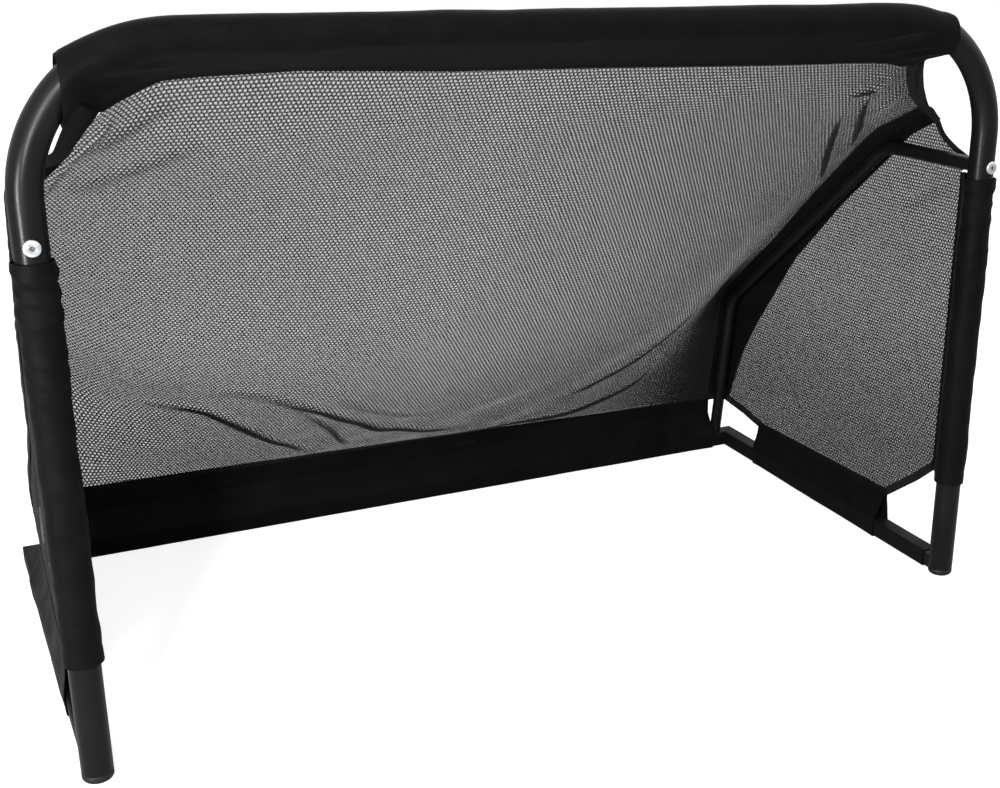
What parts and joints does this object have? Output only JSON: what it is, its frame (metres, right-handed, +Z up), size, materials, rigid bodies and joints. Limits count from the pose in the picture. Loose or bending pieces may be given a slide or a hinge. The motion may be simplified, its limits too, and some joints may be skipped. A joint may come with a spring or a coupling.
{
  "type": "hockey goal net",
  "caption": "Freestanding black goal: a bent tube hoop on a square tube base, with bent rear arms and a sleeved net of knitted mesh.",
  "frame": {"origin": "middle of the footprint, on the floor", "axes": "+X to the right seen from the front, +Y towards the back, +Z up"},
  "size_m": [1.203, 0.6232, 0.7976],
  "materials": {
    "powder_coat": "gloss black powder coat on steel tube",
    "foot_plastic": "black moulded polyethylene foot cap, satin",
    "zinc_plate": "bright zinc-plated steel",
    "oxford_cloth": "black woven polyester oxford cloth, soft sheen",
    "knitted_mesh": "black warp-knitted polyester mesh with small round holes",
    "binding_tape": "black folded polyester binding tape"
  },
  "bodies": {
    "root": {"right_post": "powder_coat", "left_post": "powder_coat", "crossbar": "powder_coat", "right_side_rail": "powder_coat", "left_side_rail": "powder_coat", "rear_rail": "powder_coat", "right_foot_stub": "powder_coat", "left_foot_stub": "powder_coat", "right_arm": "powder_coat", "left_arm": "powder_coat", "right_arm_spigot": "powder_coat", "left_arm_spigot": "powder_coat", "right_foot_cap": "foot_plastic", "left_foot_cap": "foot_plastic", "right_arm_plug": "zinc_plate", "left_arm_plug": "zinc_plate", "right_arm_bolt": "zinc_plate", "left_arm_bolt": "zinc_plate", "top_sleeve": "oxford_cloth", "right_post_sleeve": "oxford_cloth", "left_post_sleeve": "oxford_cloth", "rear_sleeve": "oxford_cloth", "right_side_sleeve": "oxford_cloth", "left_side_sleeve": "oxford_cloth", "right_corner_band": "oxford_cloth", "left_corner_band": "oxford_cloth", "rear_mesh": "knitted_mesh", "right_side_mesh": "knitted_mesh", "left_side_mesh": "knitted_mesh", "right_top_binding": "binding_tape", "left_top_binding": "binding_tape", "right_front_binding": "binding_tape", "left_front_binding": "binding_tape", "right_rear_binding": "binding_tape", "left_rear_binding": "binding_tape"}
  },
  "joints": []
}
